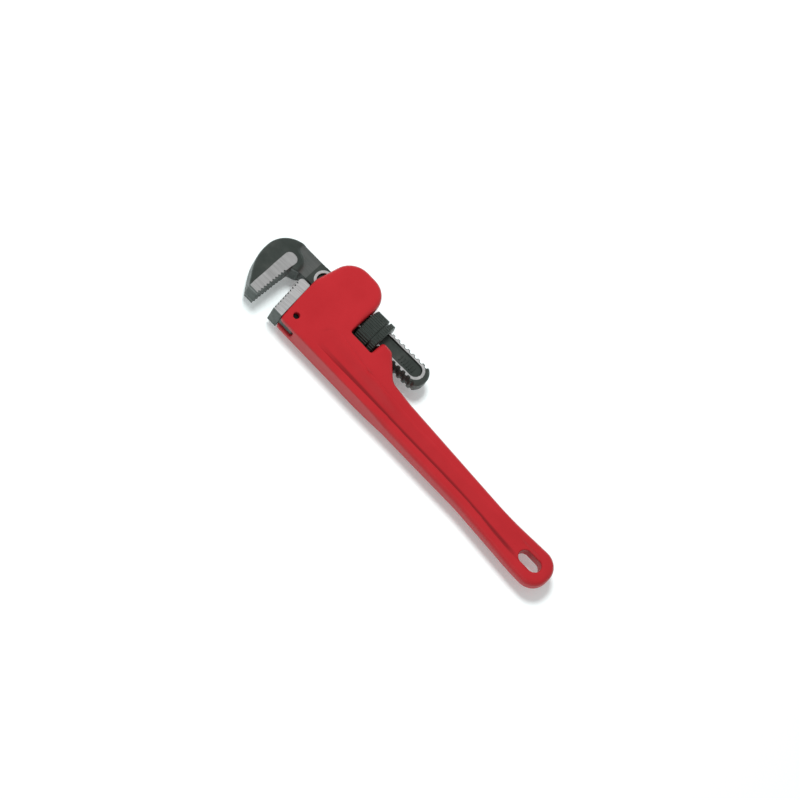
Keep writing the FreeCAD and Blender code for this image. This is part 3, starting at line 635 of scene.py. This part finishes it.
def soften_channel(piece):
    """Fills the channel to its cast profile and softens it."""
    group = piece.vertex_groups.new(name="channel")
    for vertex in piece.data.vertices:
        place = vertex.co - NUT_CENTRE
        level = channel_level(place)
        if abs(place.z) < level:
            vertex.co.z = NUT_CENTRE.z + math.copysign(level, place.z)
        beyond = place.y - along_line(CHANNEL_BACK, place.x)
        on_side = CHANNEL_START[0] < place.x < CHANNEL_END[0] and abs(place.z) > CHANNEL_RIM_LEVEL
        if level or on_side:
            weight = ease(place.y, CHANNEL_VALLEY, CHANNEL_VALLEY + VALLEY_EASE)
            weight *= 1.0 - ease(beyond, *CHANNEL_RIM)
            group.add([vertex.index], weight, "REPLACE")
    soften = piece.modifiers.new("channel_softening", "SMOOTH")
    soften.factor = 0.5
    soften.iterations = CHANNEL_SOFTENING
    soften.vertex_group = group.name


def make_cast_handle(material):
    """The handle with the soft, rounded arrises of an iron casting under paint."""
    piece = new_piece("cast_handle", merged_copy("handle"), material)
    grain = piece.modifiers.new("cast_grain", "REMESH")
    grain.mode = "VOXEL"
    grain.voxel_size = CAST_GRAIN
    soften = piece.modifiers.new("cast_softening", "SMOOTH")
    soften.factor = 0.5
    soften.iterations = CAST_SOFTENING
    mesh = plain_mesh(piece)
    piece.data = mesh
    soften_channel(piece)
    mesh = plain_mesh(piece)
    mesh.shade_smooth()
    piece.data = mesh
    mesh.name = "cast_handle"
    mesh.materials.clear()
    mesh.materials.append(material)
    fit_to_body(piece, "casting", "red_paint", "handle")


def cheek_level(place):
    """How far from the mid-plane the hook's cheek reaches; it falls in a soft ring to the neck."""
    away = math.hypot(place.x - CHEEK_CENTRE[0], place.y - CHEEK_CENTRE[1])
    fall = ease(away, *CHEEK_REACH) * ease(place.x, *CHEEK_SIDE) * ease(place.y, *CHEEK_THROAT)
    if fall == 0.0 or place.x > CHEEK_END:
        return math.inf
    return CHEEK_LEVEL + (NECK_LEVEL - CHEEK_LEVEL) * fall


def tip_level(place):
    """The same for the shank's end, which is rounded off outside its ground ring."""
    if place.x < TIP_CENTRE:
        return math.inf
    outside = math.hypot(place.x - TIP_CENTRE, place.y) - TIP_RING
    if outside <= 0.0:
        return math.inf
    share = min(1.0, outside / TIP_ROUND)
    return RIM_LEVEL * (1.0 - TIP_FALL * (1.0 - math.sqrt(1.0 - share * share)))


def make_hook(material):
    """Hook jaw, neck and threaded shank."""
    piece = new_piece("forged_hook", merged_copy("hook_jaw"), material)
    grain = piece.modifiers.new("forged_grain", "REMESH")
    grain.mode = "VOXEL"
    grain.voxel_size = FORGED_GRAIN
    mesh = plain_mesh(piece)
    mesh.transform(screw_frame().inverted())
    for vertex in mesh.vertices:
        level = min(cheek_level(vertex.co), tip_level(vertex.co))
        if abs(vertex.co.z) > level:
            vertex.co.z = math.copysign(level, vertex.co.z)
    mesh.transform(screw_frame())
    piece.data = mesh
    soften = piece.modifiers.new("forged_softening", "SMOOTH")
    soften.factor = 0.5
    soften.iterations = FORGED_SOFTENING
    mesh = plain_mesh(piece)
    mesh.shade_smooth()
    piece.data = mesh
    mesh.name = "forged_hook"
    mesh.materials.clear()
    mesh.materials.append(material)
    fit_to_body(piece, "hook", "black_steel", "hook_jaw")


def make_tally(material):
    """Plain bars in the shank's recess, where such a wrench has its size mark."""
    mesh = tally_bars(material)
    place = screw_frame(TALLY_START) @ Matrix.Translation((0, 0, TALLY_LEVEL))
    mesh.transform(place)
    piece = new_piece("tally_bars", mesh, material)
    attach(piece, "hook")


def make_heel(material):
    mesh = merged_copy("heel_jaw")
    shade(mesh, 32)
    piece = new_piece("heel_jaw_block", mesh, material)
    fit_to_body(piece, "casting", "ground_steel", "heel_jaw")


def make_nut(material):
    """The turned nut, its two collars sunk a little so that the ribs end at the true radius."""
    core = merged_copy("adjusting_nut")
    to_screw = screw_frame().inverted()
    core.transform(to_screw)
    for vertex in core.vertices:
        reach = math.hypot(vertex.co.y, vertex.co.z)
        if reach > NUT_RADIUS - COLLAR_DEPTH:
            sunk = (reach - RIB_SINK) / reach
            vertex.co.y *= sunk
            vertex.co.z *= sunk
    shade(core, 35)
    half = NUT_LENGTH / 2
    ends = (
        (-half + NUT_CHAMFER * CHAMFER_SHARE, GROOVE_PLACE - GROOVE_WIDTH / 2 - RIB_SET_BACK),
        (GROOVE_PLACE + GROOVE_WIDTH / 2 + RIB_SET_BACK, half - NUT_CHAMFER * CHAMFER_SHARE),
    )
    work = bmesh.new()
    work.from_mesh(core)
    for first, last in ends:
        ribs = ribbed_collar(material, last - first)
        ribs.transform(Matrix.Translation(((first + last) / 2, 0, 0)))
        work.from_mesh(ribs)
    work.to_mesh(core)
    work.free()
    core.transform(screw_frame())
    piece = new_piece("ribbed_nut", core, material)
    fit_to_body(piece, "nut", "black_steel", "adjusting_nut")


def make_coil(material):
    """The coil spring, which gives way as the jaw rocks in the wrench; here it is built as one
    fixed coil.
    """
    low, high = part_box("coil_spring")
    radius = (high.x - low.x) / 2 - SPRING_WIRE
    mesh = coiled_wire(material, radius, high.y - low.y - 2 * SPRING_WIRE)
    centre = (low + high) / 2
    mesh.transform(Matrix.Translation((centre.x, low.y + SPRING_WIRE, centre.z)))
    piece = new_piece("coiled_spring", mesh, material)
    fit_to_body(piece, "casting", "spring_steel", "coil_spring")
    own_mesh(piece)


def paint_node(node, material):
    """A CAD node that stays, with a procedural finish in each of its slots."""
    part = frame["nodes"][node]
    if not part.material_slots:
        part.data.materials.append(material)
    for slot in part.material_slots:
        slot.material = material


# ---------------------------------------------------------------- stage


def lay_floor():
    half = 3.0
    mesh = bpy.data.meshes.new("floor")
    corners = [(-half, -half, 0), (half, -half, 0), (half, half, 0), (-half, half, 0)]
    mesh.from_pydata(corners, [], [(0, 1, 2, 3)])
    new_piece("floor", mesh, floor_white())


def hang_lamp(name, direction, distance, size, power, mirrored):
    """A round soft lamp in a direction from the wrench, seen in polished faces or not."""
    lamp = bpy.data.lights.new(name, "AREA")
    lamp.shape = "DISK"
    lamp.size = size
    lamp.energy = power
    place = bpy.data.objects.new(name, lamp)
    direction = Vector(direction).normalized()
    place.visible_glossy = mirrored
    place.location = CAMERA_TARGET + direction * distance
    place.rotation_euler = direction.to_track_quat("Z", "Y").to_euler()
    bpy.context.scene.collection.objects.link(place)


def light_stage():
    hang_lamp("key", (-0.30, 0.10, 0.95), 1.6, 0.45, 19.0, False)
    hang_lamp("fill", (0.10, -0.75, 0.65), 1.8, 1.2, 2.4, True)
    world = bpy.data.worlds.new("studio")
    world.use_nodes = True
    sky = world.node_tree.nodes["Background"]
    sky.inputs["Color"].default_value = (1.0, 1.0, 1.0, 1.0)
    sky.inputs["Strength"].default_value = 0.47
    bpy.context.scene.world = world
    view = bpy.context.scene.view_settings
    view.view_transform = "Standard"
    view.look = "None"


def place_camera():
    camera = bpy.data.cameras.new("camera")
    camera.sensor_width = 36.0
    camera.lens = camera.sensor_width * CAMERA_DISTANCE / CAMERA_FIELD
    camera.clip_end = 20.0
    turn = Matrix.Rotation(math.radians(CAMERA_TURN), 4, "Z")
    tilt = Matrix.Rotation(math.radians(CAMERA_TILT), 4, "X")
    roll = Matrix.Rotation(math.radians(CAMERA_ROLL), 4, "Z")
    look = turn @ tilt @ roll
    holder = bpy.data.objects.new("camera", camera)
    away = Matrix.Translation((0, 0, CAMERA_DISTANCE))
    holder.matrix_world = Matrix.Translation(CAMERA_TARGET) @ look @ away
    bpy.context.scene.collection.objects.link(holder)
    bpy.context.scene.camera = holder


make_cast_handle(red_enamel())
make_hook(ground_over_oxide("ground_and_oxide", hook_flats, LEAN))
make_tally(dark_oxide("oxide_bars"))
make_heel(ground_over_oxide("ground_heel", heel_flats, math.radians(5.9)))
make_nut(dark_oxide("oxide_nut", 1.15))
make_coil(bright_steel("spring_wire", 0.42))
# Painted shade: the pin is set almost black to stand for the shadowed hole it sits in.
paint_node("heel_jaw_pin", bright_steel("pin_painted_shade", 0.03))
paint_node("flat_spring", bright_steel("leaf_steel", 0.46))
paint_node("spring_rivet", bright_steel("rivet_steel", 0.40))
lay_floor()
light_stage()
place_camera()
